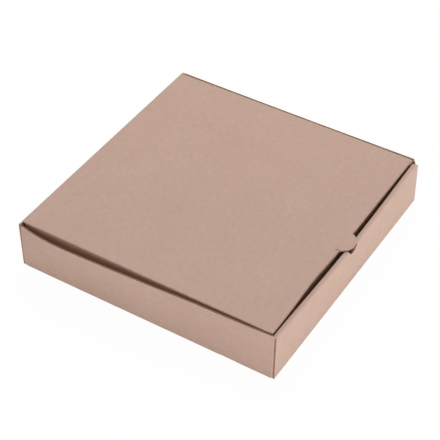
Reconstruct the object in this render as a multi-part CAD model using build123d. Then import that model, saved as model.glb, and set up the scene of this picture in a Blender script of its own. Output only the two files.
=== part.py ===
from build123d import *
import os
from math import cos, radians, sin

# A nine inch kraft pizza box: one die-cut sheet of thin corrugated board,
# folded into a tray and a hinged lid, and held by its own tabs and friction.
# Millimetres, +Z up. The origin is on the table under the middle of the tray,
# the hinge of the lid is at +Y and its thumb tab at -Y.

# Board
board = 1.4  # thickness
crease = 0.5  # inside radius of a crease
ply_gap = 0.12  # air between boards that lie flat on each other
lap = 1.0  # how far a folded profile runs into the flat panel it grows from

# Tray, outside
width = 232.0
depth = 230.0
lid_height = 43.4  # table to the top face of the shut lid
side_drop = 0.2  # cut top edge of the side walls below that face
left_flare = 5.5  # how far the loose left wall bellies out at its top edge
left_front_lean = 1.6  # how far its front corner leans in at the top
left_rear_lean = -1.2  # its rear corner leans out
right_flare = -0.5  # the right wall leans in a little instead
right_front_lean = 0.3
right_rear_lean = 0.3
flare_place = 66.0  # where along Y a side wall bellies most
flare_third = 0.13  # share of the flare, a third of the way to that place from the front
flare_two_thirds = 0.62  # and two thirds of the way
front_bow = 2.2  # how far the middle of the front wall leans out at the top
front_end_gap = 0.3  # front and back walls stop short of the side faces
front_end_taper = 1.2  # the front wall is this much narrower still at its top
left_roll_inset = 3.8  # the rolled top stops this far inside the left side face
left_roll_drop = 1.2  # height of the slanted relief at that end of the roll
right_roll_inset = 4.6
right_roll_drop = 2.2
corner_nick = 1.2  # square relief where three folds meet at the bottom

# Ears, the ends of the side walls folded in behind the front and back walls
front_ear = 30.0  # length from the side face
rear_ear = 34.0
ear_tip_drop = 8.85  # top edge at the tip, below the top of the front wall
ear_root_drop = 4.35  # top edge at the corner crease, below it too
ear_tip_rise = 4.5  # bottom edge at the tip
ear_corner = 5.0

# Locks of the front wall in the bottom
lock_width = 26.0
lock_place = 58.0  # middle of each lock, either side of the middle
lock_slack = 0.25
lock_foot = 0.15  # tips of the locks to the table
lock_root = 1.2  # height of a lock inside the panel it grows from

# Lid
lid_side_gap = 1.8  # side wall to the lid's side crease, with the lid in the middle
lid_shift = 0.9  # the shut lid sits this far to the right of the middle
lid_front_gap = 0.4  # rolled front wall to tuck flap crease
lid_rest_gap = 0.15  # thumb tab to the front wall it rests on
hinge_lip = 2.6  # width of the lip that the hinge crease leaves on the tray
hinge_gap = 0.15  # lip to lid panel
hinge_rise = 0.1  # hinge axis above the lid's top face
hinge_land = 1.3  # plain lid edge between the hinge and the dust flaps
land_chamfer = 0.8  # its outer corners, beside the rear folds of the side walls
dust_rise = 8.4  # bottom edge of the dust flaps above the table
dust_lean = 3.0  # degrees that the dust flaps lean in
dust_taper = 9.0  # each end slants in by this much
dust_corner = 10.0
tuck_rise = 9.4  # bottom edge of the tuck flap above the table, were it upright
tuck_lean = 6.0  # degrees that the tuck flap leans in
tuck_taper = 8.0  # each end slants in by this much
tuck_corner = 14.0
tab_radius = 11.3
tab_reach = 8.8  # thumb tab beyond the tuck flap crease
tab_place = -2.4  # middle of the tab along X
tab_slit = 0.3  # cut between the tab and the flap it comes out of

# Finger notch under the tab
notch_half_width = 10.0
notch_depth = 4.8

# Worked out from the sizes above
fold = crease + board
half_width = width / 2
half_depth = depth / 2
side_height = lid_height - side_drop
front_height = lid_height - board - lid_rest_gap
front_thickness = 3 * board + 2 * ply_gap
ear_face_front = -half_depth + board + ply_gap
ear_face_rear = half_depth - board - ply_gap
lid_half_width = half_width - board - lid_side_gap
lid_front = -half_depth + front_thickness + lid_front_gap
lid_back = half_depth - hinge_lip - hinge_gap
hinge_y = half_depth - hinge_lip
hinge_z = lid_height + hinge_rise
dust_depth = lid_height - dust_rise
tuck_depth = lid_height - tuck_rise
lock_face = -half_depth + front_thickness - board / 2
clear = 60.0  # reach of a cutting tool past what it cuts


def section_plane(origin, outward, rise=1):
    """Plane of a folded profile: its X runs outward, its Y up or down."""
    out = Vector(*outward)
    return Plane(origin=origin, x_dir=out, z_dir=out.cross(Vector(0, 0, rise)))


def inset(points, distance):
    """A folded line moved to its left, with its corners kept mitred."""
    corners = [Vector(*point) for point in points]
    ways = [(b - a).normalized() for a, b in zip(corners, corners[1:])]
    moved = []
    for corner, before, after in zip(corners, ways[:1] + ways, ways + ways[-1:]):
        across = Vector(0, 0, 1).cross(before + after)
        moved.append(corner + across * (distance / (1 + before.dot(after))))
    return moved


def folded_profile(points):
    """Section of a board folded along a line that turns left at each crease."""
    outer = FilletPolyline(*points, radius=fold)
    inner = FilletPolyline(*inset(points, board), radius=crease)
    return make_face(outer + Line(outer @ 1, inner @ 1) + inner + Line(inner @ 0, outer @ 0))


def outline_prism(points, radii, plane, start, end):
    """Solid under a closed outline with rounded corners, between two distances."""
    outline = make_face(FilletPolyline(*points, radius=radii, close=True))
    return extrude(plane.offset(start) * outline, end - start)


def front_bow_at(x):
    """Lean of the front wall's top edge: none at its ends, most in the middle."""
    share = min(abs(x) / half_width, 1)
    return front_bow * (1 - share**2) ** 1.5


def bottom_panel():
    """Flat bottom between its four creases."""
    return Pos(0, 0, board / 2) * Box(width - 2 * fold, depth - 2 * fold, board)


def back_wall():
    """Back wall from the bottom crease to the lip that the hinge crease leaves."""
    points = [
        (half_depth - fold - lap, 0),
        (half_depth, 0),
        (half_depth, lid_height),
        (half_depth - hinge_lip, lid_height),
    ]
    end = half_width - front_end_gap
    plane = section_plane((-end, 0, 0), (0, 1, 0))
    return extrude(plane * folded_profile(points), 2 * end)


def front_section(x):
    """Section of the rolled front wall at one place along X."""
    bow = front_bow_at(x)
    points = [
        (half_depth - fold - lap, 0),
        (half_depth, 0),
        (half_depth + bow, front_height),
        (half_depth + bow - front_thickness, front_height),
        (half_depth - front_thickness, board + ply_gap),
    ]
    return section_plane((x, 0, 0), (0, -1, 0)) * folded_profile(points)


def front_locks():
    """Tabs of the inner front panel that pass down into the bottom's slots."""
    top = board + ply_gap + lock_root
    lock = Pos(0, lock_face, (lock_foot + top) / 2) * Box(lock_width, board, top - lock_foot)
    return [Pos(side * lock_place, 0, 0) * lock for side in (-1, 1)]


def lock_slots():
    """Slots in the bottom panel for those tabs."""
    slot = Box(lock_width + 2 * lock_slack, board + 2 * lock_slack, 2 * board)
    return [Pos(side * lock_place, lock_face, board / 2) * slot for side in (-1, 1)]


def roll_relief(side):
    """Waste at one end of the rolled wall: the inner layers and a slanted corner."""
    stop, drop = (left_roll_inset, left_roll_drop) if side < 0 else (right_roll_inset, right_roll_drop)
    end = half_width - stop
    edge = half_width - front_end_gap
    corner = [
        (end, front_height + lap),
        (end, front_height - crease),
        (edge - front_end_taper, front_height - crease - drop),
        (edge, fold),
        (half_width + lap, fold),
        (half_width + lap, front_height + lap),
    ]
    outline = Polyline(*[(side * x, z) for x, z in corner], close=True)
    slant = extrude(Plane.XZ.offset(half_depth - clear) * make_face(outline), 2 * clear)
    inner = Pos(side * (end + clear / 2), -half_depth + board + clear / 2, fold + clear / 2)
    return slant + inner * Box(clear, clear, clear)


def finger_notch():
    """Half-moon cut through the top of the front wall, under the thumb tab."""
    radius = (notch_half_width**2 + notch_depth**2) / (2 * notch_depth)
    centre = Pos(tab_place, -half_depth, front_height - notch_depth + radius)
    return centre * Rot(90, 0, 0) * Cylinder(radius, clear)


def front_wall():
    """Rolled double front wall, bowed out a little, with its reliefs and notch."""
    end = half_width - front_end_gap
    stations = 7
    sections = [front_section(-end + 2 * end * step / (stations - 1)) for step in range(stations)]
    wall = loft(sections)
    return wall - finger_notch() - roll_relief(-1) - roll_relief(1)


def side_plan(height, flare, front_lean, rear_lean, bow):
    """Plan of a side wall with both its ears, on the left of the box, at one height."""
    side = -half_width
    front_turn = ear_face_front + fold
    rear_turn = ear_face_rear - fold
    rise = flare_place - front_turn
    front_tip = (side + front_ear, ear_face_front - bow)
    rear_tip = (side + rear_ear, ear_face_rear)
    wall = [
        (side + front_lean, front_turn),
        (side - flare_third * flare, front_turn + rise / 3),
        (side - flare_two_thirds * flare, front_turn + 2 * rise / 3),
        (side - flare, flare_place),
        (side + rear_lean, rear_turn),
    ]
    edges = []
    for skin, radius, step in ((0, fold, 0), (board, crease, board)):
        front_start = (side + front_lean + fold, ear_face_front + step)
        rear_end = (side + rear_lean + fold, ear_face_rear - step)
        run = Spline(*[(x + skin, y) for x, y in wall])
        front_arc = RadiusArc(front_start, run @ 0, radius)
        rear_arc = RadiusArc(run @ 1, rear_end, radius)
        front_line = Line((front_tip[0], front_tip[1] + step), front_start)
        rear_line = Line(rear_end, (rear_tip[0], rear_tip[1] - step))
        edges.append([front_line, front_arc, run, rear_arc, rear_line])
    outer, inner = edges
    ends = [Line(outer[-1] @ 1, inner[-1] @ 1), Line(inner[0] @ 0, outer[0] @ 0)]
    return Pos(0, 0, height) * make_face(Wire(outer + ends[:1] + inner[::-1] + ends[1:]))


def side_wall(side):
    """Single side wall with its bottom crease and two ears; -1 is the left one."""
    left = (left_flare, left_front_lean, left_rear_lean)
    right = (right_flare, right_front_lean, right_rear_lean)
    top = left if side < 0 else right
    bow = front_bow_at(half_width - front_ear)
    wall = loft([side_plan(fold, 0, 0, 0, 0), side_plan(side_height, *top, bow)], ruled=True)
    root = -half_width + top[1] + fold + ply_gap
    ear_tip = -half_width + max(front_ear, rear_ear)
    outline = [
        (-half_width - clear, 0),
        (root, 0),
        (ear_tip, ear_tip_rise),
        (ear_tip, front_height - ear_tip_drop),
        (root, front_height - ear_root_drop),
        (root, side_height + lap),
        (-half_width - clear, side_height + lap),
    ]
    radii = [0, 0, ear_corner, ear_corner, crease, 0, 0]
    wall &= outline_prism(outline, radii, Plane.XZ, -clear - half_depth, clear + half_depth)
    under_lip = lid_height - board - ply_gap
    rear_turn = ear_face_rear - fold
    lip_space = Box(2 * clear, clear, clear)
    wall -= Pos(-half_width, rear_turn + clear / 2, under_lip + clear / 2) * lip_space
    ring = make_face(
        CenterArc((0, 0), fold, 180, 90)
        + Line((0, -fold), (0, -crease))
        + CenterArc((0, 0), crease, 180, 90)
        + Line((-crease, 0), (-fold, 0))
    )
    start = Plane(origin=(-half_width + fold, rear_turn, fold), x_dir=(1, 0, 0), z_dir=(0, -1, 0))
    wall += extrude(start * ring, rear_turn - ear_face_front - fold)
    return wall if side < 0 else mirror(wall, Plane.YZ)


def make_tray():
    """The tray half of the sheet, open at the top."""
    tray = bottom_panel() + back_wall() + front_wall()
    nick = corner_nick
    for side in (-1, 1):
        for end in (-1, 1):
            tray -= Pos(side * half_width, end * half_depth, 0) * Box(2 * nick, 2 * nick, 2 * nick)
    tray = tray + side_wall(-1) + side_wall(1)
    tray = tray - lock_slots() + front_locks()
    return tray


def leaning_flap(reach, drop, lean):
    """Profile of a lid edge folded down into a flap that leans inwards."""
    points = [
        (reach - fold - lap, 0),
        (reach, 0),
        (reach - drop * sin(radians(lean)), drop * cos(radians(lean))),
    ]
    return folded_profile(points)


def dust_flap(side):
    """Side flap of the lid, cut back at both ends so that it enters the tray."""
    front = lid_front + fold
    rear = lid_back - hinge_land
    start = front if side > 0 else rear
    plane = section_plane((0, start, lid_height), (side, 0, 0), -1)
    flap = extrude(plane * leaning_flap(lid_half_width, dust_depth, dust_lean), rear - front)
    top = lid_height + lap
    low = lid_height - dust_depth - lap
    outline = [
        (front, top),
        (front, lid_height - fold),
        (front + dust_taper, low),
        (rear - dust_taper, low),
        (rear, lid_height - fold),
        (rear, top),
    ]
    radii = [0, 0, dust_corner, dust_corner, 0, 0]
    return flap & outline_prism(outline, radii, Plane.YZ, -half_width, half_width)


def tuck_flap():
    """Front flap of the lid, with round corners and the half-moon of the tab cut out."""
    end = lid_half_width - fold
    plane = section_plane((-end, 0, lid_height), (0, -1, 0), -1)
    flap = extrude(plane * leaning_flap(-lid_front, tuck_depth, tuck_lean), 2 * end)
    top = lid_height + lap
    low = lid_height - tuck_depth * cos(radians(tuck_lean))
    outline = [
        (-end, top),
        (-end, lid_height - fold),
        (-end + tuck_taper, low),
        (end - tuck_taper, low),
        (end, lid_height - fold),
        (end, top),
    ]
    radii = [0, 0, tuck_corner, tuck_corner, 0, 0]
    flap &= outline_prism(outline, radii, Plane.XZ, -clear - half_depth, clear + half_depth)
    hole = Pos(tab_place - lid_shift, lid_front, lid_height + tab_radius - tab_reach - fold)
    return flap - hole * Rot(90, 0, 0) * Cylinder(tab_radius + tab_slit, 2 * tuck_depth)


def thumb_tab():
    """Half-moon that stays in the plane of the lid and rests on the front wall."""
    centre_y = lid_front - tab_reach + tab_radius
    root = lid_front + fold
    middle = tab_place - lid_shift
    level = lid_height - board / 2
    disc = Pos(middle, centre_y, level) * Cylinder(tab_radius, board)
    waste = Pos(middle, root + clear, level) * Box(clear, 2 * clear, clear)
    return disc - waste


def make_lid():
    """The lid half of the sheet, shut, a little right of the middle."""
    front = lid_front + fold
    middle = (front + lid_back) / 2
    level = lid_height - board / 2
    panel = Pos(0, middle, level) * Box(2 * (lid_half_width - fold), lid_back - front, board)
    land = Pos(0, lid_back - hinge_land / 2, level) * Box(2 * lid_half_width, hinge_land, board)
    land = chamfer(land.edges().filter_by(Axis.Z).group_by(Axis.Y)[-1], land_chamfer)
    lid = panel + land + dust_flap(-1) + dust_flap(1) + tuck_flap() + thumb_tab()
    return Pos(lid_shift, 0, 0) * lid


os.makedirs("parts", exist_ok=True)
for name, shape in (("tray", make_tray()), ("lid", make_lid())):
    solids = shape.solids()
    print(name, "solids", len(solids), "volume", round(shape.volume, 1), "valid", shape.is_valid)
    export_step(shape, f"parts/{name}.step")
print("hinge axis", round(hinge_y, 3), round(hinge_z, 3))
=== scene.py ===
"""Kraft pizza box: folded corrugated board, its paper, its light and its camera.

Both halves of the folded sheet are worked out here as real corrugated board: two paper liners with a
fluted paper between them, carried through every fold, slit and cut edge of the blank.
Metres, +Z up. The lid's crease is at +Y, its thumb tab at -Y.
"""

import logging
from collections.abc import Sequence
from dataclasses import dataclass, field
from enum import Enum

import bpy
import numpy as np
from mathutils import Matrix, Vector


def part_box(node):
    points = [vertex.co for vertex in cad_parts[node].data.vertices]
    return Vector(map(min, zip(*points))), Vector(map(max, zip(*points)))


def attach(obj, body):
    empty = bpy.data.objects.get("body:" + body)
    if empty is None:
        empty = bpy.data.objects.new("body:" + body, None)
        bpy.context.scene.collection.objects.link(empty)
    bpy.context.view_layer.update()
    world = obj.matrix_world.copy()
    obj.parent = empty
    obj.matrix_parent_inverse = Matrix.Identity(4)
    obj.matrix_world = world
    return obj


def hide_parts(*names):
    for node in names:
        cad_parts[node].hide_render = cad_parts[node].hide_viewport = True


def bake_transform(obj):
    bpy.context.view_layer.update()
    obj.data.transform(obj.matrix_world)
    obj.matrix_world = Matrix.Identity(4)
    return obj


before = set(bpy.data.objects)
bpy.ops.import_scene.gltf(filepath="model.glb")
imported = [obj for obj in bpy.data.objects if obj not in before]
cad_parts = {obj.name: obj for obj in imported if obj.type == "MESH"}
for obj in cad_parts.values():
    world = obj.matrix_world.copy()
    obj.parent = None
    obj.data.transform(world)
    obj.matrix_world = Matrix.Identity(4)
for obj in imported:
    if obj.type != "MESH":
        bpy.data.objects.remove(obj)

log = logging.getLogger("pizza_box")
Array = np.ndarray
Socket = bpy.types.NodeSocket
Triple = tuple[float, float, float]
Shape = tuple[Array, Array, Array]  # points, faces and places on the flat sheet
MM = 0.001
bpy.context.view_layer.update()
FOLD_STEPS = 6  # steps round every fold
WELD = 1e-5  # points nearer than this become one
SLACK = 1e-7  # allowed when places are compared
SHARP_ANGLE = 40  # degrees between faces that still look smooth


class Face(Enum):
    """Which way a folded strip leaves the flat panel it grows from."""

    FRONT = (0.0, -1.0)
    BACK = (0.0, 1.0)
    LEFT = (-1.0, 0.0)


@dataclass(frozen=True)
class Board:
    """Thin corrugated board, and the outside radii that it folds to."""

    thickness: float = 1.4 * MM
    fold: float = 1.2 * MM
    tight_fold: float = 0.6 * MM
    soft_fold: float = 1.9 * MM
    liner: float = 0.22 * MM
    flute_pitch: float = 3.2 * MM
    flute_paper: float = 0.2 * MM
    flute_inset: float = 0.1 * MM
    flute_depth: float = 0.7 * MM
    ply_gap: float = 0.12 * MM


@dataclass(frozen=True)
class Sizes:
    """Outside sizes of the box, read from the CAD frame."""

    half_width: float
    half_depth: float
    height: float
    flare: float

    @classmethod
    def from_frame(cls) -> "Sizes":
        """Reads the tray's box; the left wall's flare is what it has more at the left."""
        low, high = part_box("tray")
        return cls(high.x, high.y, high.z, -low.x - high.x)


BOARD = Board()
SIZES = Sizes.from_frame()


def ruler(stops: Sequence[float], spacing: float) -> Array:
    """Sorted stops with even steps between them.

    Args:
        stops: values that the ruler must hold.
        spacing: the longest step.

    Returns:
        Every stop once, with evenly spaced values between neighbours.
    """
    marks = np.unique(np.round(stops, 9))
    runs = [
        np.linspace(a, b, max(int(np.ceil((b - a) / spacing)), 1), endpoint=False)
        for a, b in zip(marks[:-1], marks[1:])
    ]
    return np.append(np.concatenate(runs), marks[-1])


def middles(values: Array) -> Array:
    """Middles of the cells between neighbouring values."""
    return (values[1:] + values[:-1]) / 2


def between(values: Array, low: float, high: float) -> Array:
    """Which cells have their middle between two values."""
    return (middles(values) > low) & (middles(values) < high)


def ease(t: Array) -> Array:
    """Smooth step from 0 to 1: t^2 (3 - 2 t)."""
    return t * t * (3 - 2 * t)


def half_circle(steps: int) -> Array:
    """Sines from -1 to 1, for marks evenly spaced round a half circle."""
    return np.sin(np.linspace(-np.pi / 2, np.pi / 2, steps + 1))


def unit(v: Array) -> Array:
    """Vectors scaled to length one; a zero vector stays zero."""
    return v / np.maximum(np.linalg.norm(v, axis=-1, keepdims=True), 1e-12)


def turned(v: Array, angle: Array) -> Array:
    """Plane vectors turned to the left by an angle."""
    c, s = np.cos(angle)[..., None], np.sin(angle)[..., None]
    return v * c + np.stack([-v[..., 1], v[..., 0]], -1) * s


def smooth_curve(at: Array, knots: Array, values: Array) -> Array:
    """Smooth curve through knots: cubic pieces whose slopes are the mean of their neighbours' slopes.

    Args:
        at: where the curve is wanted.
        knots: rising places of the knots.
        values: the curve's value at each knot.

    Returns:
        The curve's values, held at its ends.
    """
    slopes = np.gradient(values, knots)
    spot = np.clip(at, knots[0], knots[-1])
    i = np.clip(np.searchsorted(knots, spot, side="right") - 1, 0, len(knots) - 2)
    width = knots[i + 1] - knots[i]
    t = (spot - knots[i]) / width
    first = values[i] * (1 + 2 * t) * (1 - t) ** 2 + slopes[i] * width * t * (1 - t) ** 2
    second = values[i + 1] * t**2 * (3 - 2 * t) - slopes[i + 1] * width * t**2 * (1 - t)
    return first + second


def profile(columns: Array, *corners: tuple[Array | float, Array | float]) -> Array:
    """Corners of a section at every column, each given as outward and upward."""
    pairs = [[np.broadcast_to(value, columns.shape) for value in pair] for pair in corners]
    return np.stack([np.stack(pair, -1) for pair in pairs])


@dataclass
class Rows:
    """Rows of points of a folded strip: places and normals in its section, and lengths along it.

    part says what each row lies on: 2 i for straight run i, 2 i + 1 for the fold after it. A row where
    the two meet belongs to the fold.
    """

    place: list[Array] = field(default_factory=list)
    normal: list[Array] = field(default_factory=list)
    length: list[Array] = field(default_factory=list)
    part: list[int] = field(default_factory=list)

    def add(self, place: Array, normal: Array, length: Array, part: int) -> None:
        """Adds one row, unless it repeats the last row of the part before it."""
        if self.place and self.part[-1] != part and np.allclose(self.place[-1], place, atol=1e-12):
            if part % 2:
                self.part[-1] = part
            return
        self.place.append(place)
        self.normal.append(normal)
        self.length.append(length)
        self.part.append(part)


@dataclass
class Section:
    """A folded section: straight runs with a round fold where two of them meet.

    corners is (corner, column, 2), in a plane of outward and upward, and the section turns left.
    radii gives the outside radius of each fold in turn, and steps the shares where each run has rows.
    spans gives, for each straight run, how far along it its rows start and end, 0 to 1, for each column.
    """

    corners: Array
    radii: Sequence[float]
    steps: Sequence[Array]
    spans: dict[int, tuple[Array | float, Array | float]] = field(default_factory=dict)

    def rows(self) -> Rows:
        """Works out every row.

        A fold starts radius * tan(turn / 2) before its corner, and its points are
        centre - radius * (the left normal turned through part of the turn).
        The length along the sheet is counted on its middle.

        Returns:
            The rows, in order along the section.
        """
        ways = unit(np.diff(self.corners, axis=0))
        lefts = turned(ways, np.full(ways.shape[:-1], np.pi / 2))
        cross = ways[:-1, :, 0] * ways[1:, :, 1] - ways[:-1, :, 1] * ways[1:, :, 0]
        turns = np.arctan2(cross, (ways[:-1] * ways[1:]).sum(-1))
        trims = np.array(self.radii)[:, None] * np.tan(turns / 2)
        made = Rows()
        run = np.zeros(self.corners.shape[1])
        last = len(ways) - 1
        for i, way in enumerate(ways):
            start = self.corners[i] + (way * trims[i - 1][:, None] if i else 0)
            end = self.corners[i + 1] - (way * trims[i][:, None] if i < last else 0)
            span = end - start
            size = np.linalg.norm(span, axis=-1)
            if i:
                low, high = self.spans.get(i, (0.0, 1.0))
                for step in self.steps[i]:
                    share = low + (high - low) * step + np.zeros(len(size))
                    made.add(start + span * share[:, None], lefts[i], run + size * share, 2 * i)
                run = run + size
            if i < last:
                radius = self.radii[i]
                middle = radius - BOARD.thickness / 2
                centre = end + lefts[i] * radius
                for share in np.linspace(0, 1, FOLD_STEPS + 1):
                    normal = turned(lefts[i], turns[i] * share)
                    length = run + middle * turns[i] * share
                    made.add(centre - normal * radius, normal, length, 2 * i + 1)
                run = run + middle * turns[i]
        return made


@dataclass
class Patch:
    """A grid of points on the outside of the board.

    place and normal are (row, column, 3), with the normal into the board. blank is (row, column, 2), the
    place on the flat sheet. keep says which cells are board: the others are cut away. fluted says whether
    its cut edges show flutes.
    """

    place: Array
    normal: Array
    blank: Array
    keep: Array
    fluted: bool = True

    @classmethod
    def whole(cls, place: Array, normal: Array, blank: Array, fluted: bool = True) -> "Patch":
        """A patch with nothing cut away."""
        cells = place.shape[0] - 1, place.shape[1] - 1
        return cls(place, normal, blank, np.ones(cells, bool), fluted)

    @classmethod
    def flat(cls, x: Array, y: Array, height: float, inward: float) -> "Patch":
        """A level patch, its inside on the side that inward points to along Z."""
        place = np.stack([x, y, np.full_like(x, height)], -1)
        normal = np.zeros_like(place)
        normal[..., 2] = inward
        return cls.whole(place, normal, place[..., :2].copy())

    def mirrored(self) -> "Patch":
        """The same patch on the other side of the box."""
        flip = np.array([-1.0, 1.0, 1.0])
        return Patch(self.place * flip, self.normal * flip, self.blank * flip[:2], self.keep, self.fluted)


def strip(rows: Rows, face: Face, along: Array, rise: float, base: float, edge: float) -> Patch:
    """Stands a folded section in the box.

    Args:
        rows: the section, with outward and upward as its two directions.
        face: the way it points outward.
        along: place of each column along the fold.
        rise: 1 where the section folds up, -1 where it folds down.
        base: height of the flat panel's outside face.
        edge: distance from the middle of the box to the first row, for the place on the flat sheet.

    Returns:
        The patch, all of it kept.
    """
    place, normal, length = np.array(rows.place), np.array(rows.normal), np.array(rows.length)
    out = np.array(face.value)
    sideways = along[None, :, None] * np.abs(out[::-1])
    points = np.concatenate([place[..., :1] * out + sideways, base + rise * place[..., 1:]], -1)
    normals = np.concatenate([normal[..., :1] * out, rise * normal[..., 1:]], -1)
    return Patch.whole(points, normals, (edge + length)[..., None] * out + sideways)


@dataclass
class Skin:
    """The outside of a folded sheet, welded from its patches."""

    place: Array
    normal: Array
    blank: Array
    faces: Array
    edges: Array
    fluted: Array

    @classmethod
    def welded(cls, patches: Sequence[Patch]) -> "Skin":
        """Joins patches at the points they share.

        Points within a hundredth of a millimetre become one, with the mean of their normals and blank
        places. Faces are turned to face away from the board, and an edge that only one face has is a cut.

        Args:
            patches: the patches of one sheet.

        Returns:
            The welded outside of the sheet.
        """
        faces, start = [], 0
        for patch in patches:
            index = start + np.arange(patch.place.size // 3).reshape(patch.place.shape[:2])
            quads = np.stack([index[:-1, :-1], index[:-1, 1:], index[1:, 1:], index[1:, :-1]], -1)
            faces.append(quads[patch.keep])
            start += index.size
        place = np.concatenate([patch.place.reshape(-1, 3) for patch in patches])
        normal = np.concatenate([patch.normal.reshape(-1, 3) for patch in patches])
        blank = np.concatenate([patch.blank.reshape(-1, 2) for patch in patches])
        quads = np.concatenate(faces)
        used = np.unique(quads)
        # The shift keeps round places off the edges between two keys.
        keys = np.round((place[used] + 0.37 * WELD) / WELD).astype(np.int64)
        _, first, inverse = np.unique(keys, axis=0, return_index=True, return_inverse=True)
        inverse = inverse.ravel()
        renumber = np.zeros(len(place), int)
        renumber[used] = inverse
        count = np.bincount(inverse)[:, None]
        normals = unit(np.stack([np.bincount(inverse, normal[used, i]) for i in range(3)], -1))
        blanks = np.stack([np.bincount(inverse, blank[used, i]) for i in range(2)], -1) / count
        quads = renumber[quads]
        points = place[used][first]
        corner = points[quads]
        facing = np.cross(corner[:, 2] - corner[:, 0], corner[:, 3] - corner[:, 1])
        inside = (facing * normals[quads[:, 0]]).sum(-1) > 0
        quads[inside] = quads[inside][:, ::-1]
        sides = np.concatenate([np.stack([quads[:, i], quads[:, (i + 1) % 4]], -1) for i in range(4)])
        shown = np.tile(np.repeat([patch.fluted for patch in patches], [len(f) for f in faces]), 4)
        real = sides[:, 0] != sides[:, 1]
        sides, shown = sides[real], shown[real]
        code = np.sort(sides, 1) @ np.array([len(points), 1])
        _, where, times = np.unique(code, return_index=True, return_counts=True)
        cut = where[times == 1]
        return cls(points, normals, blanks, quads, sides[cut], shown[cut])

    def layer(self, low: float, high: float) -> Shape:
        """A closed layer of the board between two depths below its outside.

        Args:
            low: depth of the layer's outer face.
            high: depth of its inner face.

        Returns:
            Points, faces and blank places.
        """
        count = len(self.place)
        points = np.concatenate([self.place + self.normal * low, self.place + self.normal * high])
        a, b = self.edges.T
        rim = np.stack([b, a, a + count, b + count], -1)
        faces = np.concatenate([self.faces, self.faces[:, ::-1] + count, rim])
        return points, faces, np.concatenate([self.blank, self.blank])

    def flutes(self) -> Shape:
        """The fluted paper behind every cut edge: a wavy ribbon, and a plain one that backs it.

        Along each cut edge the paper runs in from the edge, and its depth in the board is
        middle + reach * sin(2 pi u / pitch), with u the place across the flutes on the flat sheet.

        Returns:
            Points, faces and blank places of closed ribbons.
        """
        a, b = self.edges[self.fluted].T
        along = unit(self.place[b] - self.place[a])
        inward = unit(np.cross(-(self.normal[a] + self.normal[b]), along))
        flat = unit(self.blank[b] - self.blank[a])
        corner = self.faces[:, :3]
        span = self.blank[corner[:, 1:]] - self.blank[corner[:, :1]]
        sign = np.sign(np.median(span[:, 0, 0] * span[:, 1, 1] - span[:, 0, 1] * span[:, 1, 0]))
        flat_in = np.stack([-flat[:, 1], flat[:, 0]], -1) * sign
        mean = [np.zeros((len(self.place), n)) for n in (3, 2)]
        for total, value in zip(mean, (inward, flat_in)):
            np.add.at(total, a, value)
            np.add.at(total, b, value)
        inward, flat_in = unit(mean[0]), unit(mean[1])
        ends = [v[[a, b]] for v in (self.place, self.normal, self.blank, inward, flat_in)]
        paper, depth = BOARD.flute_paper, BOARD.flute_depth
        reach = (BOARD.thickness - 2 * BOARD.liner - paper) / 2
        core = BOARD.thickness / 2 - BOARD.liner
        wavy = self.ribbons(ends, 10, (BOARD.flute_inset, depth), reach, paper / 2)
        backing = self.ribbons(ends, 1, (depth, depth + paper), 0.0, core)
        points, faces, blanks = (np.concatenate(pair) for pair in zip(wavy, backing))
        faces[len(wavy[1]) :] += len(wavy[0])
        return points, faces, blanks

    @staticmethod
    def ribbons(ends: list[Array], steps: int, insets: Sequence[float], reach: float, half: float) -> Shape:
        """Closed ribbons behind every cut edge.

        Args:
            ends: place, normal, blank place, inward way and that way on the blank, at both ends of each
                edge.
            steps: pieces that each edge is split into.
            insets: way in from the cut to the ribbon's near side and to its far side.
            reach: height of its wave.
            half: half its thickness.

        Returns:
            Points, faces and blank places.
        """
        share = np.linspace(0, 1, steps + 1)[None, :, None]
        place, normal, blank, inward, flat_in = (
            v[0][:, None] * (1 - share) + v[1][:, None] * share for v in ends
        )
        normal = unit(normal)
        near, far = insets
        rings, blanks = [], []
        for inset, side in ((near, -1), (far, -1), (far, 1), (near, 1)):
            spot = blank + flat_in * inset
            wave = np.sin(2 * np.pi * spot[..., :1] / BOARD.flute_pitch)
            depth = BOARD.thickness / 2 + reach * wave + side * half
            rings.append(place + inward * inset + normal * depth)
            blanks.append(spot)
        points = np.stack(rings, 2)
        index = np.arange(points.size // 3).reshape(points.shape[:3])
        a, b = index[:, :-1], index[:, 1:]
        walls = [np.stack([a[..., i], b[..., i], b[..., i - 3], a[..., i - 3]], -1) for i in range(4)]
        faces = [wall.reshape(-1, 4) for wall in walls] + [index[:, 0, ::-1], index[:, -1]]
        return points.reshape(-1, 3), np.concatenate(faces), np.stack(blanks, 2).reshape(-1, 2)


def mesh_piece(name: str, shape: Shape, material: bpy.types.Material) -> bpy.types.Object:
    """Puts worked-out arrays into a mesh object at the origin.

    Args:
        name: the piece's name.
        shape: (point, 3) places, (face, 4) corners, and (point, 2) places on the flat sheet, which are
            kept as the UV map "blank".
        material: the piece's finish.

    Returns:
        The new object, smooth except at its sharp edges.
    """
    points, faces, blank = shape
    mesh = bpy.data.meshes.new(name)
    mesh.vertices.add(len(points))
    mesh.vertices.foreach_set("co", points.astype(np.float32).ravel())
    mesh.loops.add(faces.size)
    mesh.loops.foreach_set("vertex_index", faces.astype(np.int32).ravel())
    mesh.polygons.add(len(faces))
    mesh.polygons.foreach_set("loop_start", (np.arange(len(faces)) * 4).astype(np.int32))
    mesh.polygons.foreach_set("use_smooth", np.ones(len(faces), bool))
    layer = mesh.uv_layers.new(name="blank")
    layer.data.foreach_set("uv", blank[faces.ravel()].astype(np.float32).ravel())
    mesh.update(calc_edges=True)
    mesh.validate()
    mesh.set_sharp_from_angle(angle=np.radians(SHARP_ANGLE))
    mesh.materials.append(material)
    piece = bpy.data.objects.new(name, mesh)
    bpy.context.scene.collection.objects.link(piece)
    log.info("%s: %d faces", name, len(faces))
    return piece


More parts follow.
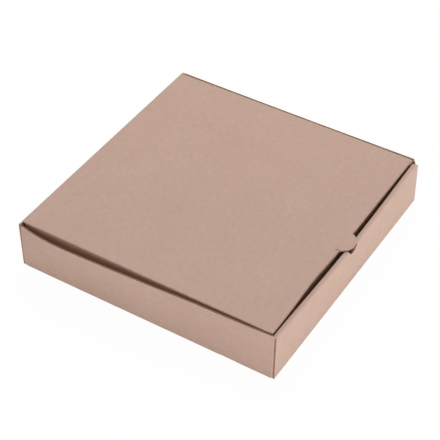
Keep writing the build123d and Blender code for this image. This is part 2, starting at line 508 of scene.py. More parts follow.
@dataclass(frozen=True)
class PaperFinish:
    """Colours of one kraft paper, linear, and how strongly its features show."""

    name: str
    base: Triple
    fibre_dark: Triple
    fibre_light: Triple
    mottle: float
    washboard: float
    roughness: float


LINER = PaperFinish(
    "kraft_liner", (0.515, 0.362, 0.287), (0.37, 0.242, 0.180), (0.67, 0.51, 0.43), 0.62, 0.12, 0.82
)
# Inside paper: a guessed kraft, made darker and warmer than the liner partly as painted shade, so the gaps
# between lid and walls look dark.
INSIDE_WITH_PAINTED_SHADE = PaperFinish(
    "kraft_inside_painted_shade", (0.440, 0.265, 0.175), (0.31, 0.180, 0.118), (0.57, 0.39, 0.29), 0.9, 0.4, 0.86
)
FLUTING = PaperFinish(
    "kraft_fluting", (0.430, 0.300, 0.225), (0.30, 0.200, 0.150), (0.56, 0.42, 0.34), 1.3, 0.0, 0.90
)


class NodeGraph:
    """A short way to place and join shader nodes in a tree."""

    def __init__(self, tree: bpy.types.NodeTree) -> None:
        """Keeps the tree."""
        self.tree = tree

    def node(self, kind: str, values: dict | None = None, **settings: object) -> bpy.types.Node:
        """Adds one node.

        Args:
            kind: the node's Blender type.
            values: input name or number to a value, or to a socket to join.
            settings: the node's own settings.

        Returns:
            The node.
        """
        node = self.tree.nodes.new(kind)
        for key, value in settings.items():
            setattr(node, key, value)
        for key, value in (values or {}).items():
            if isinstance(value, Socket):
                self.tree.links.new(value, node.inputs[key])
            else:
                node.inputs[key].default_value = value
        return node

    def math(self, operation: str, *values: object) -> Socket:
        """The result of a math node on numbers or sockets."""
        return self.node("ShaderNodeMath", dict(enumerate(values)), operation=operation).outputs[0]

    def noise(self, vector: Socket, scale: float, detail: float, rough: float = 0.5) -> Socket:
        """Noise from 0 to 1 with features about 1 / scale metres across."""
        values = {"Vector": vector, "Scale": scale, "Detail": detail, "Roughness": rough}
        return self.node("ShaderNodeTexNoise", values).outputs["Fac"]

    def ramp(self, value: Socket, low: float, high: float) -> Socket:
        """0 below low, 1 above high and smooth between."""
        values = {"Value": value, "From Min": low, "From Max": high}
        return self.node("ShaderNodeMapRange", values, interpolation_type="SMOOTHSTEP").outputs[0]

    def mix(self, share: Socket, first: Socket, second: Socket) -> Socket:
        """Two colours mixed by a share."""
        values = {0: share, 6: first, 7: second}
        return self.node("ShaderNodeMix", values, data_type="RGBA").outputs[2]


class KraftPaper:
    """Makes kraft paper materials that share one node group of fibres, mottle and flute lines."""

    def __init__(self) -> None:
        """Builds the shared group once."""
        self.group = self._fibre_group()
        self.made: dict[str, bpy.types.Material] = {}

    def _fibre_group(self) -> bpy.types.NodeTree:
        """Fibres lie along the paper's length, clouds and mottle are the pulp's uneven look.

        Tone is the sum of four noises: clouds of 45 mm, mottle of 5 mm, grain of 1 mm and fibres of
        0.3 by 3 mm, each about 0. Specks are the tops of a fine noise. Washboard is cos(2 pi u / pitch).

        Returns:
            The group, with Color, Height and Roughness out.
        """
        tree = bpy.data.node_groups.new("kraft_fibre", "ShaderNodeTree")
        sockets = (
            ("INPUT", "Color", ("Base", "Dark", "Light")),
            ("INPUT", "Float", ("Mottle", "Washboard", "Rough")),
            ("OUTPUT", "Color", ("Color",)),
            ("OUTPUT", "Float", ("Height", "Roughness")),
        )
        for way, kind, names in sockets:
            for name in names:
                tree.interface.new_socket(name=name, in_out=way, socket_type=f"NodeSocket{kind}")
        graph = NodeGraph(tree)
        given = graph.node("NodeGroupInput").outputs
        spot = graph.node("ShaderNodeTexCoord").outputs["Object"]
        sheet = graph.node("ShaderNodeUVMap", uv_map="blank").outputs[0]
        stretch = {"Vector": sheet, "Scale": (3200.0, 330.0, 1.0)}
        stretched = graph.node("ShaderNodeMapping", stretch).outputs[0]
        noises = (
            (spot, 22.0, 3.0, 0.6),
            (spot, 210.0, 4.0, 0.65),
            (spot, 1150.0, 3.0, 0.7),
            (stretched, 1.0, 3.0, 0.6),
        )
        clouds, mottle, grain, fibres = (graph.math("SUBTRACT", graph.noise(*n), 0.5) for n in noises)
        tone = graph.math("MULTIPLY", clouds, 0.26)
        for part, weight in ((mottle, 0.55), (grain, 0.75), (fibres, 0.45)):
            tone = graph.math("MULTIPLY_ADD", part, weight, tone)
        tone = graph.math("MULTIPLY", tone, given["Mottle"])
        across = graph.node("ShaderNodeSeparateXYZ", {0: sheet}).outputs[0]
        wave = graph.math("COSINE", graph.math("MULTIPLY", across, 2 * np.pi / BOARD.flute_pitch))
        wave = graph.math("MULTIPLY", wave, given["Washboard"])
        tone = graph.math("MULTIPLY_ADD", wave, 0.012, tone)
        darker = graph.ramp(graph.math("MULTIPLY", tone, -1.0), 0.0, 0.34)
        colour = graph.mix(darker, given["Base"], given["Dark"])
        colour = graph.mix(graph.ramp(tone, 0.0, 0.34), colour, given["Light"])
        specks = ((stretched, 0.62, 0.35, "Dark"), (spot, 760.0, 0.30, "Light"))
        for vector, scale, weight, tint in specks:
            tops = graph.ramp(graph.noise(vector, scale, 1.0), 0.70, 0.78)
            colour = graph.mix(graph.math("MULTIPLY", tops, weight), colour, given[tint])
        height = graph.math("MULTIPLY_ADD", grain, 0.35, graph.math("MULTIPLY", fibres, 0.30))
        height = graph.math("MULTIPLY_ADD", mottle, 0.5, height)
        height = graph.math("MULTIPLY_ADD", wave, 0.16, height)
        rough = graph.math("MULTIPLY_ADD", tone, -0.25, given["Rough"])
        graph.node("NodeGroupOutput", {"Color": colour, "Height": height, "Roughness": rough})
        return tree

    def material(self, finish: PaperFinish) -> bpy.types.Material:
        """One paper's material, made once.

        Args:
            finish: its colours and strengths.

        Returns:
            The material, with bump from the fibres.
        """
        if finish.name in self.made:
            return self.made[finish.name]
        material = bpy.data.materials.new(finish.name)
        self.made[finish.name] = material
        material.use_nodes = True
        graph = NodeGraph(material.node_tree)
        values = {
            "Base": (*finish.base, 1.0),
            "Dark": (*finish.fibre_dark, 1.0),
            "Light": (*finish.fibre_light, 1.0),
            "Mottle": finish.mottle,
            "Washboard": finish.washboard,
            "Rough": finish.roughness,
        }
        paper = graph.node("ShaderNodeGroup", values, node_tree=self.group).outputs
        relief = {"Height": paper["Height"], "Strength": 0.5, "Distance": 0.12 * MM}
        bump = graph.node("ShaderNodeBump", relief).outputs["Normal"]
        shader = material.node_tree.nodes["Principled BSDF"].inputs
        joined = (("Base Color", paper["Color"]), ("Roughness", paper["Roughness"]), ("Normal", bump))
        for key, source in joined:
            material.node_tree.links.new(source, shader[key])
        shader["Specular IOR Level"].default_value = 0.25
        return material


@dataclass
class FoldedSheet:
    """One half of the blank, as board: two liners and the fluted paper between them."""

    paper: KraftPaper
    name: str = "sheet"
    spacing: float = 4 * MM

    def patches(self) -> list[Patch]:
        """The patches of this half; each kind of sheet has its own."""
        raise NotImplementedError

    def build(self) -> None:
        """Makes the liners and flutes, riding on the body of the same name and standing for its node."""
        skin = Skin.welded(self.patches())
        thick, liner = BOARD.thickness, BOARD.liner
        parts = (
            ("outside_liner", skin.layer(0.0, liner), LINER),
            # the inside liner's darker, warmer paper is partly painted shade for the gaps
            ("inside_liner", skin.layer(thick - liner, thick), INSIDE_WITH_PAINTED_SHADE),
            ("fluting", skin.flutes(), FLUTING),
        )
        for part, shape, finish in parts:
            piece = mesh_piece(f"{self.name}_{part}", shape, self.paper.material(finish))
            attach(piece, self.name)
            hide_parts(self.name)


# The left wall's belly: how far its top edge stands out, as shares of the flare, at shares of the way
# from the middle of the box to the wall's ends.
BELLY_PLACES = np.array([-1.0, -0.86, -0.66, -0.40, -0.08, 0.24, 0.54, 0.72, 0.87, 1.0])
BELLY_SHARES = np.array([-0.29, -0.12, 0.02, 0.17, 0.50, 0.78, 0.98, 0.95, 0.66, 0.22])

# Places along an ear and down a flap, as shares of the way: even, then closer together round corners.
EAR_SHARES = np.concatenate(
    [[0.0], np.linspace(0.2, 0.8, 4), 0.8 + 0.2 * np.sin(np.linspace(0.2, 1, 7) * np.pi / 2)]
)
FLAP_SHARES = np.concatenate(
    [np.linspace(0, 0.6, 8)[:-1], 0.6 + 0.4 * np.sin(np.linspace(0, 1, 12) * np.pi / 2)]
)


@dataclass
class Tray(FoldedSheet):
    """Bottom, back wall, rolled front wall, and side walls with an ear at each end."""

    name: str = "tray"
    front_bow: float = 2.2 * MM
    front_rest_gap: float = 0.15 * MM
    end_gap: float = 0.6 * MM
    end_taper: float = 1.2 * MM
    taper_run: float = 2.3 * MM
    left_roll_inset: float = 3.1 * MM
    right_roll_inset: float = 4.6 * MM
    right_roll_drop: float = 0.9 * MM
    relief_run: float = 3.1 * MM
    right_cut_place: float = 110.4 * MM
    right_cut_drop: float = 5.2 * MM
    right_lean: float = 0.3 * MM
    right_sag: float = 0.4 * MM
    side_drop: float = 0.2 * MM
    front_ear: float = 30 * MM
    rear_ear: float = 34 * MM
    ear_root: float = 0.15 * MM
    ear_tip_drop: float = 8.85 * MM
    ear_root_drop: float = 4.35 * MM
    ear_tip_rise: float = 4.5 * MM
    ear_corner: float = 5 * MM
    loose_fold: float = 2.4 * MM
    loose_run: float = 12 * MM
    lock_width: float = 26 * MM
    lock_place: float = 58 * MM
    lock_slack: float = 0.25 * MM
    lock_foot: float = 0.15 * MM
    notch_place: float = -2.1 * MM
    notch_half: float = 6.4 * MM
    notch_depth: float = 4.8 * MM
    notch_fade: float = 8 * MM
    lip_seam: float = 112.8 * MM
    wall_step: float = 0.12
    lining_step: float = 0.14
    side_step: float = 0.08

    @property
    def front_height(self) -> float:
        """Top of the rolled front wall, just under the thumb tab."""
        return SIZES.height - BOARD.thickness - self.front_rest_gap

    @property
    def roll_thickness(self) -> float:
        """Three boards lying together."""
        return 3 * BOARD.thickness + 2 * BOARD.ply_gap

    @property
    def wall_turn(self) -> float:
        """Where along Y a side wall starts to turn into its ear."""
        return SIZES.half_depth - BOARD.thickness - BOARD.ply_gap - BOARD.fold

    @property
    def notch_radius(self) -> float:
        """Radius of the half-moon cut: (half width squared + depth squared) / (2 depth)."""
        return (self.notch_half**2 + self.notch_depth**2) / (2 * self.notch_depth)

    @property
    def notch_centre(self) -> float:
        """Height of the middle of the half-moon cut's circle."""
        return self.front_height - self.notch_depth + self.notch_radius

    @property
    def lock_slot(self) -> tuple[float, float]:
        """Where along Y the lock slots in the bottom start and end."""
        lock = -SIZES.half_depth + self.roll_thickness - BOARD.thickness / 2
        reach = BOARD.thickness / 2 + self.lock_slack
        return lock - reach, lock + reach

    def notch_reach(self, height: Array | float) -> Array:
        """Half the width of the half-moon cut at a height: a chord of its circle."""
        return np.sqrt(np.maximum(self.notch_radius**2 - (self.notch_centre - height) ** 2, 0))

    def bow_at(self, x: Array) -> Array:
        """How far the front wall's top leans out: front_bow * (1 - (x / half width)^2)^1.5."""
        return self.front_bow * np.clip(1 - (x / SIZES.half_width) ** 2, 0, 1) ** 1.5

    def columns(self) -> Array:
        """Places along X that the bottom, front and back share."""
        mouth = self.notch_reach(self.front_height - BOARD.soft_fold)
        notch = self.notch_place + mouth * half_circle(12)
        rolls = (self.left_roll_inset, self.right_roll_inset)
        insets = (self.end_gap, BOARD.fold, self.end_gap + self.taper_run, *rolls)
        marks = [SIZES.half_width - inset for inset in insets]
        for side in (-1, 1):
            for slack in (0, self.lock_slack):
                marks.append(self.lock_place + side * (self.lock_width / 2 + slack))
        return ruler([*marks, *(-m for m in marks), *notch], self.spacing)

    def depths(self) -> Array:
        """Places along Y that the bottom and the side walls share."""
        marks = [SIZES.half_depth - BOARD.fold, self.wall_turn, self.right_cut_place]
        return ruler([*marks, *(-m for m in marks), *self.lock_slot], self.spacing)

    def in_lock(self, xs: Array, slack: float) -> Array:
        """Which columns of cells lie in a lock."""
        return np.abs(np.abs(middles(xs)) - self.lock_place) < self.lock_width / 2 + slack

    def bottom(self) -> Patch:
        """Flat bottom with its lock slots."""
        xs, ys = self.columns(), self.depths()
        xs = xs[np.abs(xs) < SIZES.half_width - BOARD.fold + SLACK]
        patch = Patch.flat(*np.meshgrid(xs, ys), 0.0, 1.0)
        slot = between(ys, *self.lock_slot)
        patch.keep[np.ix_(slot, self.in_lock(xs, self.lock_slack))] = False
        return patch

    def roll(self, xs: Array) -> Rows:
        """Section of the front wall at every column: up, over its crown and down inside to its locks.

        Both plies stop at the edge of the notch, and the outer ply also at the relief of the right end.
        The inner ply has a row just above the bottom, where its locks leave it.

        Args:
            xs: the columns.

        Returns:
            The rows, with 2 as the outer ply, 3 to 5 as the crown and its folds, and 6 as the inner ply.
        """
        fold, depth, top, thick = BOARD.fold, SIZES.half_depth, self.front_height, self.roll_thickness
        bow = self.bow_at(xs)
        corners = profile(
            xs,
            (depth - 2 * fold, 0.0),
            (depth, 0.0),
            (depth + bow, top),
            (depth + bow - thick, top),
            (depth - thick, self.lock_foot),
        )
        crown, lining = top - fold, top - BOARD.soft_fold
        right_end = SIZES.half_width - self.right_roll_inset
        relief = self.right_roll_drop * np.clip((xs - right_end) / self.relief_run, 0, 1)
        offset = xs - self.notch_place
        dip = self.notch_centre - np.sqrt(np.maximum(self.notch_radius**2 - offset**2, 0))
        high = (np.minimum(crown, dip) - relief - fold) / (crown - fold)
        drop = lining - self.lock_foot
        low = 1 - (np.minimum(lining, dip) - self.lock_foot) / drop
        sill = (BOARD.thickness + BOARD.ply_gap - self.lock_foot) / drop
        lining_steps = ruler([0, 1 - sill, 1], self.lining_step)
        steps = ((), ruler([0, 1], self.wall_step), (0.0, 1.0), lining_steps)
        return Section(corners, (fold, fold, BOARD.soft_fold), steps, {1: (0, high), 3: (low, 1)}).rows()

    def front(self) -> Patch:
        """Front wall rolled over on itself, bowed out, with its notch, end reliefs and locks.

        Round the notch the crown's points are moved sideways onto the half-moon's edge, less and less
        away from it. The wall narrows by end_taper on the way up, over its last taper_run.
        """
        xs = self.columns()
        rows = self.roll(xs)
        patch = strip(rows, Face.FRONT, xs, 1, 0.0, SIZES.half_depth - BOARD.fold)
        height, part = patch.place[..., 2], np.array(rows.part)
        crown, lining = self.front_height - BOARD.fold, self.front_height - BOARD.soft_fold
        rolled = ((part >= 3) & (part < 6))[:, None] & (height > lining)
        mouth = self.notch_reach(lining)
        offset = xs - self.notch_place
        fade = np.clip(1 - (np.abs(offset) - mouth) / self.notch_fade, 0, 1)
        shift = (self.notch_reach(height) - mouth) * np.sign(offset) * fade
        patch.place[..., 0] += np.where(rolled, shift, 0)
        past = np.clip((np.abs(xs) - SIZES.half_width + self.end_gap) / self.taper_run + 1, 0, 1)
        climb = np.clip((height - BOARD.fold) / (crown - BOARD.fold), 0, 1)
        patch.place[..., 0] -= np.sign(xs) * past * climb * self.end_taper
        middle = middles(xs)
        wall_end, crest_end = (int(np.nonzero(part == kind)[0].max()) for kind in (2, 3))
        lining_start = int(np.nonzero(part >= 6)[0].min())
        patch.keep[crest_end:, middle < self.left_roll_inset - SIZES.half_width] = False
        patch.keep[wall_end:, middle > SIZES.half_width - self.right_roll_inset] = False
        patch.keep[wall_end:lining_start, np.abs(middle - self.notch_place) < mouth - SLACK] = False
        patch.keep[-1, ~self.in_lock(xs, 0)] = False
        return patch

    def back(self) -> Patch:
        """Back wall up to the crease of the lid."""
        fold, depth, xs = BOARD.fold, SIZES.half_depth, self.columns()
        corners = profile(
            xs,
            (depth - 2 * fold, 0.0),
            (depth, 0.0),
            (depth, SIZES.height),
            (self.lip_seam, SIZES.height),
        )
        steps = ((), ruler([0, 1], self.wall_step), (0.0, 1.0))
        rows = Section(corners, (fold, BOARD.soft_fold), steps).rows()
        return strip(rows, Face.BACK, xs, 1, 0.0, depth - fold)

    def flare(self, ys: Array, side: int) -> Array:
        """How far a side wall's top edge stands out at each place along Y.

        The loose left wall bellies out towards the back: a smooth rise to its fullest place and a
        quicker fall to the rear corner, with its front corner leaning in. The right wall leans in by
        right_lean + right_sag * sin(pi t), with t from 0 at its front end to 1 at its rear end.
        """
        if side < 0:
            return smooth_curve(ys, BELLY_PLACES * self.wall_turn, BELLY_SHARES * SIZES.flare)
        t = np.clip((ys + self.wall_turn) / (2 * self.wall_turn), 0, 1)
        return -self.right_lean - self.right_sag * np.sin(np.pi * t)

    def side(self, side: int) -> list[Patch]:
        """Side wall and its two ears; -1 is the left one, and 1 is built at the left and mirrored.

        The wall's section is a fold and a straight run to its cut top edge. Each ear turns in round a
        fold at the end of the wall, with the heights of its edges falling and rising towards its tip.
        """
        fold, half = BOARD.fold, SIZES.half_width
        ys = self.depths()
        ys = ys[np.abs(ys) < self.wall_turn + SLACK]
        cut = np.clip((-ys - self.right_cut_place) / (self.wall_turn - self.right_cut_place), 0, 1)
        top = SIZES.height - self.side_drop - (self.right_cut_drop * cut if side > 0 else 0)
        corners = profile(ys, (half - 2 * fold, 0.0), (half, 0.0), (half + self.flare(ys, side), top))
        rows = Section(corners, (fold,), ((), ruler([0, 1], self.side_step))).rows()
        wall = strip(rows, Face.LEFT, ys, 1, 0.0, half - fold)
        soft = self.loosen(wall) if side < 0 else np.zeros(len(rows.part))
        first = rows.part.index(2) - 1
        front = self.ear(wall, first, 0, self.front_ear, np.zeros_like(soft))
        rear = self.ear(wall, first, -1, self.rear_ear, soft)
        made = [wall, front, rear]
        return made if side < 0 else [patch.mirrored() for patch in made]

    def loosen(self, wall: Patch) -> Array:
        """Draws the rear end of the loose wall forward, to make room for the rounder fold of its ear.

        The fold's extra radius is loose_fold * rise^2, with rise from 0 at the bottom to 1 at the top.

        Args:
            wall: the side wall's patch, which is changed.

        Returns:
            The extra radius at each of its rows.
        """
        soft = self.loose_fold * np.clip(wall.place[:, -1, 2] / SIZES.height, 0, 1) ** 2
        near = np.clip(1 - (self.wall_turn - wall.place[0, :, 1]) / self.loose_run, 0, 1)
        wall.place[..., 1] -= soft[:, None] * ease(near)
        return soft

    def ear(self, wall: Patch, first: int, end: int, length: float, soft: Array) -> Patch:
        """One ear, turned in from an end of the left wall.

        Args:
            wall: the side wall's patch.
            first: its row where the bottom fold ends.
            end: 0 at the front, -1 at the rear.
            length: from the side face to the ear's tip.
            soft: how much rounder than the board's own its fold is, at each row of the wall.

        Returns:
            The ear's patch: a quarter fold, then the flat ear with round corners at its tip.
        """
        out = 1.0 if end else -1.0
        edge, flat = wall.place[first:, end], wall.blank[first:, end]
        fold, radius = BOARD.fold, (BOARD.fold + soft[first:])[:, None]
        place, normal, blank = [], [], []
        for angle in np.linspace(0, 1, FOLD_STEPS + 1) * np.pi / 2:
            c, s = np.cos(angle), np.sin(angle)
            place.append(edge + radius * np.array([1 - c, out * s, 0]))
            normal.append(np.broadcast_to([c, -out * s, 0.0], edge.shape))
            blank.append(flat + (radius - BOARD.thickness / 2) * angle * np.array([0, out]))
        corner, corner_blank = place[-1], blank[-1]
        reach = length - SIZES.half_width - corner[:, 0]
        low, high = edge[0, 2], edge[-1, 2]
        root_top = self.front_height - self.ear_root_drop
        for share in EAR_SHARES:
            past = self.ear_root + share * (length - fold - self.ear_root)
            bite = np.maximum(self.ear_corner - (length - fold - past), 0)
            inset = self.ear_corner - np.sqrt(np.maximum(self.ear_corner**2 - bite**2, 0))
            roof = root_top - share * (self.ear_tip_drop - self.ear_root_drop) - inset
            sill = max(low, share * self.ear_tip_rise) + inset
            level = sill + (edge[:, 2] - low) / (high - low) * (roof - sill)
            x = corner[:, 0] + past / (length - fold) * reach
            if share == 0:
                x = x + np.interp(level, edge[:, 2], edge[:, 0]) - edge[:, 0]
            place.append(np.stack([x, corner[:, 1], level], -1))
            normal.append(np.broadcast_to([0.0, -out, 0.0], edge.shape))
            flat_x = corner_blank[:, 0] - (level - edge[:, 2])
            blank.append(np.stack([flat_x, corner_blank[:, 1] + out * past], -1))
        points = np.stack(place, 1)
        if end:
            lip = SIZES.height - BOARD.thickness - BOARD.ply_gap
            points[:, 1:, 2] = np.minimum(points[:, 1:, 2], lip)
        else:
            ear = points[:, FOLD_STEPS + 1 :]
            ear[..., 1] -= self.bow_at(ear[..., 0]) * ear[..., 2] / self.front_height
        return Patch.whole(points, np.stack(normal, 1), np.stack(blank, 1))

    def patches(self) -> list[Patch]:
        """All patches of the tray."""
        return [self.bottom(), self.front(), self.back(), *self.side(-1), *self.side(1)]


@dataclass(frozen=True)
class Flap:
    """Sizes of a flap folded down inside the tray.

    rise is its bottom edge above the table, lean how far it leans in, in degrees, taper the slant of
    each end, and corner the radius of its lower corners.
    """

    rise: float
    lean: float
    taper: float
    corner: float


@dataclass
class Lid(FoldedSheet):
    """Lid panel with a dust flap at each side, a tuck flap at the front and the thumb tab."""

    name: str = "lid"
    side_gap: float = 1.8 * MM
    shift: float = 0.9 * MM
    front_gap: float = 0.4 * MM
    seam: float = 111.9 * MM
    dust_flap: Flap = Flap(8.4 * MM, 3.0, 9 * MM, 10 * MM)
    tuck_flap: Flap = Flap(9.4 * MM, 10.0, 8 * MM, 14 * MM)
    slanted_share: float = 0.28
    tab_radius: float = 11.3 * MM
    tab_reach: float = 7.9 * MM
    tab_place: float = -0.6 * MM
    tab_slit: float = 0.3 * MM
    overcut_width: float = 0.7 * MM
    overcut_depth: float = 1.8 * MM
    crown: float = 0.25 * MM
    dent: float = 1.6 * MM
    dent_place: float = -0.44
    dent_width: float = 0.26
    right_pull: float = 0.8 * MM
    pull_steepness: float = 5
    pull_run: float = 16 * MM
    end_fade: float = 0.03

    @property
    def fold(self) -> float:
        """Outside radius of the lid's folds."""
        return BOARD.tight_fold

    @property
    def half(self) -> float:
        """Middle of the lid to a side crease."""
        return SIZES.half_width - BOARD.thickness - self.side_gap

    @property
    def front_edge(self) -> float:
        """Place of the front crease along Y, as a positive distance from the middle."""
        return SIZES.half_depth - 3 * BOARD.thickness - 2 * BOARD.ply_gap - self.front_gap

    @property
    def tab_middle(self) -> float:
        """Middle of the tab, measured from the lid's own middle."""
        return self.tab_place - self.shift

    @property
    def tab_half(self) -> float:
        """Half the tab's width where it leaves the panel."""
        return np.sqrt(self.tab_radius**2 - (self.tab_radius - self.tab_reach - self.fold) ** 2)

    @property
    def hole_half(self) -> float:
        """Half the width of the hole that the tab leaves at the top of the tuck flap."""
        return np.sqrt((self.tab_radius + self.tab_slit) ** 2 - (self.tab_radius - self.tab_reach) ** 2)

    def columns(self) -> Array:
        """Places along X, measured from the lid's own middle."""
        middle, hole, edge = self.tab_middle, self.hole_half, self.half - self.fold
        round_marks = middle + self.tab_half * half_circle(16)
        holes = [middle - hole - self.overcut_width, middle - hole, middle + hole]
        return ruler([-edge, edge, *round_marks, *holes], self.spacing)

    def depths(self) -> Array:
        """Places along Y."""
        front = -self.front_edge + self.fold
        return ruler([front, front + self.overcut_depth, self.seam], self.spacing)

    def panel(self) -> Patch:
        """Flat lid, with the cut beside the thumb tab run on a little into it."""
        xs, ys = self.columns(), self.depths()
        patch = Patch.flat(*np.meshgrid(xs, ys), SIZES.height, -1.0)
        root = self.tab_middle - self.hole_half
        slit = between(xs, root - self.overcut_width, root + self.hole_half - self.tab_half)
        patch.keep[np.ix_(between(ys, ys[0], ys[0] + self.overcut_depth), slit)] = False
        return patch

    def flap(self, flap: Flap, face: Face, along: Array, reach: float, top: Array | float = 0.0) -> Patch:
        """A flap folded down inside the tray.

        Its ends slant in by taper * depth^1.6 on the way down, and its lower corners are round: near the
        bottom edge they come in by corner - sqrt(corner^2 - (corner - left)^2), with left the way to it.

        Args:
            flap: its sizes.
            face: the side of the lid it hangs from.
            along: columns along the crease.
            reach: middle of the lid to the crease.
            top: share of the drop where each column starts, for a hole at the crease.

        Returns:
            The patch, with everything kept.
        """
        drop, slope, corner = SIZES.height - flap.rise, np.radians(flap.lean), flap.corner
        tip = (reach - drop * np.sin(slope), drop * np.cos(slope))
        corners = profile(along, (reach - 2 * self.fold, 0.0), (reach, 0.0), tip)
        rows = Section(corners, (self.fold,), ((), FLAP_SHARES), {1: (top, 1.0)}).rows()
        patch = strip(rows, face, along, -1, SIZES.height, reach - self.fold)
        hang = SIZES.height - patch.place[..., 2] - self.fold
        depth = np.clip(hang / (drop * np.cos(slope) - self.fold), 0, 1)
        bite = np.clip(corner - (1 - depth) * drop, 0, corner)
        inset = flap.taper * depth**1.6 + corner - np.sqrt(corner**2 - bite**2)
        axis = 0 if face is Face.FRONT else 1
        share = (along - along[0]) / (along[-1] - along[0]) * 2 - 1
        near_end = (np.abs(share) - 1 + self.slanted_share) / self.slanted_share
        squeeze = np.sign(share) * np.clip(near_end, 0, 1)
        patch.place[..., axis] -= squeeze[None] * inset
        patch.blank[..., axis] -= squeeze[None] * inset
        return patch

    def tuck(self) -> Patch:
        """Front flap, with the hole that the thumb tab leaves in it."""
        xs = self.columns()
        offset = np.abs(xs - self.tab_middle)
        hole = self.tab_radius + self.tab_slit
        drop = SIZES.height - self.tuck_flap.rise
        depth = np.sqrt(np.maximum(hole**2 - offset**2, 0)) - (self.tab_radius - self.tab_reach)
        share = np.clip(depth / (drop - self.fold), 0, 1)
        top = np.where(offset < self.hole_half + SLACK, share, 0)
        patch = self.flap(self.tuck_flap, Face.FRONT, xs, self.front_edge, top)
        inside = np.abs(middles(xs) - self.tab_middle) < self.hole_half - SLACK
        patch.keep[:FOLD_STEPS, inside] = False
        return patch

    def tab(self) -> Patch:
        """Half-moon thumb tab in the plane of the lid: rows spread between the panel and a circle."""
        xs = self.columns()
        xs = xs[np.abs(xs - self.tab_middle) < self.tab_half + SLACK]
        root = -self.front_edge + self.fold
        centre = -self.front_edge - self.tab_reach + self.tab_radius
        tip = centre - np.sqrt(np.maximum(self.tab_radius**2 - (xs - self.tab_middle) ** 2, 0))
        y = root + (np.minimum(tip, root) - root) * np.linspace(0, 1, 8)[:, None]
        return Patch.flat(np.broadcast_to(xs, y.shape), y, SIZES.height, -1.0)

    def corner(self) -> Patch:
        """Round front corner of the lid, between its left fold and its front fold.

        Its points stand a fold radius from the fold's centre, along (-tan a, -tan b, 1), with a and b the
        turns of the two folds that it joins. It covers the first four steps of both.
        """
        leans = (self.tuck_flap.lean, self.dust_flap.lean)
        turns = [np.radians(90 + lean) / FOLD_STEPS * np.arange(5) for lean in leans]
        b, a = np.meshgrid(*turns, indexing="ij")
        away = unit(np.stack([-np.tan(a), -np.tan(b), np.ones_like(a)], -1))
        centre = np.array([-self.half, -self.front_edge, SIZES.height]) + self.fold * np.array([1, 1, -1])
        blank = centre[:2] - np.stack([a, b], -1) * (self.fold - BOARD.thickness / 2)
        return Patch.whole(centre + away * self.fold, -away, blank, fluted=False)

    def patches(self) -> list[Patch]:
        """All patches of the lid, moved to where the shut lid sits."""
        dust = self.flap(self.dust_flap, Face.LEFT, self.depths(), self.half)
        corner = self.corner()
        made = [self.panel(), dust, dust.mirrored(), self.tuck(), self.tab(), corner, corner.mirrored()]
        for patch in made:
            patch.place[..., 1] += self.pull_at(patch)
            patch.place[..., 2] += self.rise_at(patch)
            patch.place[..., 0] += self.shift
        return made

    def pull_at(self, patch: Patch) -> Array:
        """How far the front crease is drawn back: it isn't quite straight, and most so left of the tab.

        With x from -1 to 1 across the lid, pull is
        dent * exp(-((x - place) / width)^2) + right_pull * (0.5 + 0.5 tanh(steepness * x)),
        faded to nothing pull_run behind the crease, and over the last end_fade at both front corners.
        """
        x = patch.place[..., 0] / self.half
        pull = self.dent * np.exp(-(((x - self.dent_place) / self.dent_width) ** 2))
        pull = pull + self.right_pull * (0.5 + 0.5 * np.tanh(self.pull_steepness * x))
        behind = np.clip((patch.place[..., 1] + self.front_edge) / self.pull_run, 0, 1)
        return pull * np.clip((1 - np.abs(x)) / self.end_fade, 0, 1) * (1 - ease(behind))

    def rise_at(self, patch: Patch) -> Array:
        """Faint sag of the lid inside its creases, with x and y from -1 to 1 across it.

        It is -crown * (1 - x^4) * (1 - y^4) * (0.6 + 0.4 sin(3 x + 2 y + 0.7)).
        """
        x = np.clip(patch.place[..., 0] / self.half, -1, 1)
        y = np.clip(patch.place[..., 1] / self.front_edge, -1, 1)
        return -self.crown * (1 - x**4) * (1 - y**4) * (0.6 + 0.4 * np.sin(3 * x + 2 * y + 0.7))


@dataclass
class HingeCrease:
    """The pressed crease between the back wall's lip and the lid, built flat where the shut lid holds it.
    """

    paper: KraftPaper
    front: float = 111.88 * MM
    rear: float = 112.82 * MM
    left: float = -111.7 * MM
    right: float = 113.5 * MM
    groove: float = 0.05 * MM
    held: float = 0.1 * MM
    spacing: float = 4 * MM

    def build(self) -> None:
        """A narrow closed strip of board whose outside dips into a faint groove: groove * sin(pi t)."""
        xs = ruler([self.left, self.right], self.spacing)
        t = np.linspace(0, 1, 11)
        ys = self.front + (self.rear - self.front) * t
        patch = Patch.flat(*np.meshgrid(xs, ys), SIZES.height, -1.0)
        patch.place[..., 2] -= self.groove * np.sin(np.pi * t)[:, None]
        shape = Skin.welded([patch]).layer(0.0, BOARD.thickness)
        piece = mesh_piece("hinge_crease", shape, self.paper.material(LINER))
        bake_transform(piece)


def placed(name: str, data: bpy.types.ID, place: Triple, axes: Sequence[Array]) -> bpy.types.Object:
    """Puts a camera or lamp in the scene.

    Args:
        name: the object's name.
        data: its camera or lamp data.
        place: where it stands.
        axes: its right, up and back directions.

    Returns:
        The object.
    """
    item = bpy.data.objects.new(name, data)
    turn = Matrix([[axis[i] for axis in axes] for i in range(3)]).to_4x4()
    item.matrix_world = Matrix.Translation(place) @ turn
    bpy.context.scene.collection.objects.link(item)
    return item


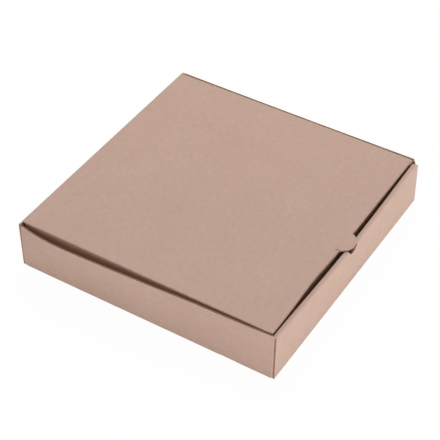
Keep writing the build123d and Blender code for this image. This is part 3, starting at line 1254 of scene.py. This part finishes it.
def white_for_camera(tree: bpy.types.NodeTree, shaded: Socket, strength: float, output: str) -> None:
    """Mixes plain white into a shader for camera, glossy and transmission rays.

    Args:
        tree: the nodes of a material or a world.
        shaded: the lit shader.
        strength: how much of the white is mixed in.
        output: name of the tree's output node.
    """
    graph = NodeGraph(tree)
    rays = graph.node("ShaderNodeLightPath").outputs
    seen = graph.math("MAXIMUM", rays["Is Camera Ray"], rays["Is Glossy Ray"])
    seen = graph.math("MAXIMUM", seen, rays["Is Transmission Ray"])
    share = graph.math("MULTIPLY", seen, strength)
    white = graph.node("ShaderNodeEmission", {"Color": (1, 1, 1, 1), "Strength": 1.0}).outputs[0]
    mixed = graph.node("ShaderNodeMixShader", {0: share, 1: shaded, 2: white}).outputs[0]
    tree.links.new(mixed, tree.nodes[output].inputs["Surface"])


@dataclass
class Studio:
    """Camera, pale floor and plain soft light.

    Angles are in degrees. focal_pixels is the focal length for a picture image_size pixels wide.
    """

    image_size: float = 440.0
    focal_pixels: float = 1378.87
    eye: Triple = (-698.01 * MM, -434.02 * MM, 762.14 * MM)
    azimuth: float = -57.9135
    elevation: float = 42.3653
    roll: float = 0.1627
    aim: Triple = (0.0, 0.0, 0.02)
    floor_half: float = 6.0
    floor_grey: float = 0.93
    floor_white: float = 0.97
    surroundings: float = 0.24

    def camera(self) -> None:
        """Camera at the photograph's viewing angle.

        Its back direction is (sin a cos e, -cos a cos e, sin e), turned by the roll about itself.
        """
        a, e, r = np.radians([self.azimuth, self.elevation, self.roll])
        back = np.array([np.sin(a) * np.cos(e), -np.cos(a) * np.cos(e), np.sin(e)])
        right = unit(np.cross([0.0, 0.0, 1.0], back))
        up = np.cross(back, right)
        right, up = right * np.cos(r) - up * np.sin(r), up * np.cos(r) + right * np.sin(r)
        data = bpy.data.cameras.new("camera")
        data.sensor_width = 36.0
        data.lens = data.sensor_width * self.focal_pixels / self.image_size
        data.clip_start = 0.05
        bpy.context.scene.camera = placed("camera", data, self.eye, (right, up, back))

    def lamp(self, name: str, place: Triple, size: float, power: float, colour: Triple) -> None:
        """A square soft light aimed at the box."""
        data = bpy.data.lights.new(name, "AREA")
        data.size = size
        data.energy = power
        data.color = colour
        back = unit(np.array(place) - np.array(self.aim))
        right = unit(np.cross([0.0, 0.0, 1.0], back))
        placed(name, data, place, (right, np.cross(back, right), back))

    def floor(self) -> None:
        """Pale floor that shows white away from the box and keeps its shadow."""
        size, grey = self.floor_half, self.floor_grey
        mesh = bpy.data.meshes.new("floor")
        corners = [(-size, -size, 0), (size, -size, 0), (size, size, 0), (-size, size, 0)]
        mesh.from_pydata(corners, [], [(0, 1, 2, 3)])
        floor = bpy.data.objects.new("floor", mesh)
        bpy.context.scene.collection.objects.link(floor)
        material = bpy.data.materials.new("floor_paper")
        material.use_nodes = True
        shader = material.node_tree.nodes["Principled BSDF"]
        shader.inputs["Base Color"].default_value = (grey, grey, grey, 1)
        shader.inputs["Roughness"].default_value = 0.9
        shader.inputs["Specular IOR Level"].default_value = 0.1
        white_for_camera(material.node_tree, shader.outputs[0], self.floor_white, "Material Output")
        mesh.materials.append(material)

    def world(self) -> None:
        """White surroundings at a plain level, and pure white where the camera sees them."""
        world = bpy.data.worlds.new("studio")
        bpy.context.scene.world = world
        world.use_nodes = True
        background = world.node_tree.nodes["Background"]
        background.inputs["Color"].default_value = (1, 1, 1, 1)
        background.inputs["Strength"].default_value = self.surroundings
        white_for_camera(world.node_tree, background.outputs[0], 1.0, "World Output")

    def build(self) -> None:
        """Sets the camera, floor, world and lamps."""
        bpy.context.scene.view_settings.view_transform = "Standard"
        self.camera()
        self.floor()
        self.world()
        self.lamp("front", (0.55, -1.9, 0.4), 1.0, 19.5, (1.0, 1.01, 1.05))
        self.lamp("side", (-1.65, -0.95, 0.4), 1.0, 20.5, (1.0, 0.965, 0.98))
        self.lamp("ceiling", (0.95, 0.6, 1.7), 1.5, 31.0, (1.0, 0.955, 0.965))


def main() -> None:
    """Builds the box, piece by piece, then its studio."""
    logging.basicConfig(level=logging.INFO, format="%(name)s: %(message)s")
    paper = KraftPaper()
    for thing in (Tray(paper), Lid(paper), HingeCrease(paper), Studio()):
        thing.build()


if __name__ == "__main__":
    main()
